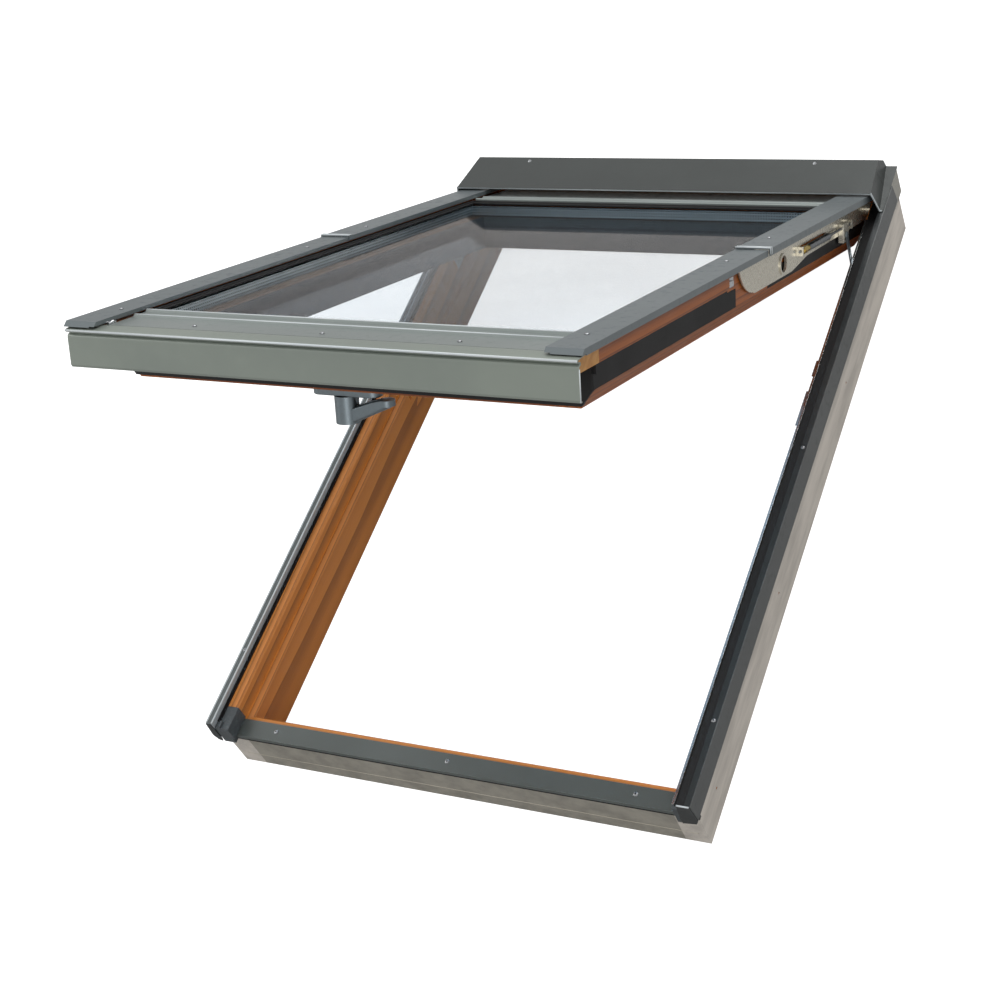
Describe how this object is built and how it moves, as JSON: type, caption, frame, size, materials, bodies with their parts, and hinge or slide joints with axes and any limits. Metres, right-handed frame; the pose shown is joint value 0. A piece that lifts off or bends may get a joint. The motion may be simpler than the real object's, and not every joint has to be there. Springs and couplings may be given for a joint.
{
  "type": "roof window",
  "caption": "Roof window with a wooden frame, grey metal cladding and hood, and a glazed sash held open on top-hinged side arms.",
  "frame": {"origin": "centre of the frame outline on its room-side face", "axes": "+X across to the right seen from outdoors with the head away, +Y up the slope to the head, +Z outdoors"},
  "size_m": [0.797, 1.208, 0.8057],
  "materials": {
    "wood_frame": "lacquered pine",
    "wood_sash": "lacquered pine",
    "clad": "satin",
    "cover": "satin",
    "panel": "satin",
    "hood": "satin",
    "bead": "satin",
    "rubber": "matte",
    "steel": "zinc plated",
    "chrome": "polished",
    "brass": "satin",
    "glass": "clear",
    "plastic": "satin",
    "spacer": "perforated"
  },
  "bodies": {
    "frame": {"frame_left_rail": "wood_frame", "frame_right_rail": "wood_frame", "frame_sill_rail": "wood_frame", "frame_head_rail": "wood_frame", "left_rail_cladding": "clad", "right_rail_cladding": "clad", "left_end_cap": "plastic", "right_end_cap": "plastic", "left_corner_cap": "plastic", "right_corner_cap": "plastic", "sill_cover": "clad", "hood": "hood", "hood_rivets": "chrome", "flank_plates": "chrome", "left_rail_seal": "rubber", "right_rail_seal": "rubber", "striker_strip": "chrome", "left_hinge_plate": "steel", "right_hinge_plate": "steel", "rail_screws": "chrome", "sill_screws": "chrome", "lock_striker": "steel"},
    "arms": {"left_arm": "steel", "right_arm": "steel", "left_upper_cover": "cover", "right_upper_cover": "cover", "left_spring": "steel", "right_spring": "steel", "left_adjuster": "brass", "right_adjuster": "brass", "left_rod": "steel", "right_rod": "steel", "upper_cover_screws": "chrome"},
    "sash": {"sash_left_rail": "wood_sash", "sash_right_rail": "wood_sash", "sash_sill_rail": "wood_sash", "sash_head_rail": "wood_sash", "outer_pane": "glass", "inner_pane": "glass", "pane_spacer": "spacer", "glass_gasket": "rubber", "sash_seal": "rubber", "front_panel": "panel", "sill_bead": "bead", "head_bead": "bead", "left_lower_cover": "cover", "right_lower_cover": "cover", "corner_clips": "chrome", "lower_cover_screws": "chrome", "bead_screws": "chrome", "left_pivot_plate": "steel", "right_pivot_plate": "steel", "side_catch": "chrome", "handle_base": "steel", "lock_case": "steel"},
    "left_stay": {"left_stay": "steel"},
    "right_stay": {"right_stay": "steel"},
    "left_carriage": {"left_carriage": "steel"},
    "right_carriage": {"right_carriage": "steel"},
    "handle": {"handle": "chrome"}
  },
  "joints": [
    {"name": "top_hung", "type": "hinge", "parent": "frame", "child": "arms", "pos_m": [0, 0.538, 0.098], "axis": [-1, 0, 0], "range_deg": [-36, 0]},
    {"name": "centre_pivot", "type": "hinge", "parent": "arms", "child": "sash", "pos_m": [0, 0.12215, 0.44093], "axis": [-1, 0, 0], "range_deg": [0, 155]},
    {"name": "handle_turn", "type": "hinge", "parent": "sash", "child": "handle", "pos_m": [-0.014, -0.35798, 0.66986], "axis": [0, 0.5878, 0.809], "range_deg": [0, 90]},
    {"name": "left_stay_turn", "type": "hinge", "parent": "frame", "child": "left_stay", "pos_m": [0, 0.404, 0.097], "axis": [1, 0, 0], "range_deg": [0, 115.68]},
    {"name": "left_carriage_slide", "type": "slide", "parent": "arms", "child": "left_carriage", "axis": [0, -0.809, 0.5878], "range_m": [0, 0.06004]},
    {"name": "right_stay_turn", "type": "hinge", "parent": "frame", "child": "right_stay", "pos_m": [0, 0.404, 0.097], "axis": [1, 0, 0], "range_deg": [0, 115.68]},
    {"name": "right_carriage_slide", "type": "slide", "parent": "arms", "child": "right_carriage", "axis": [0, -0.809, 0.5878], "range_m": [0, 0.06004]}
  ],
  "couplings": [
    {"joint": "left_stay_turn", "follows": "top_hung", "ratio": -3.2129},
    {"joint": "left_carriage_slide", "follows": "top_hung", "m_per_rad": -0.095526},
    {"joint": "right_stay_turn", "follows": "top_hung", "ratio": -3.2129},
    {"joint": "right_carriage_slide", "follows": "top_hung", "m_per_rad": -0.095526}
  ]
}
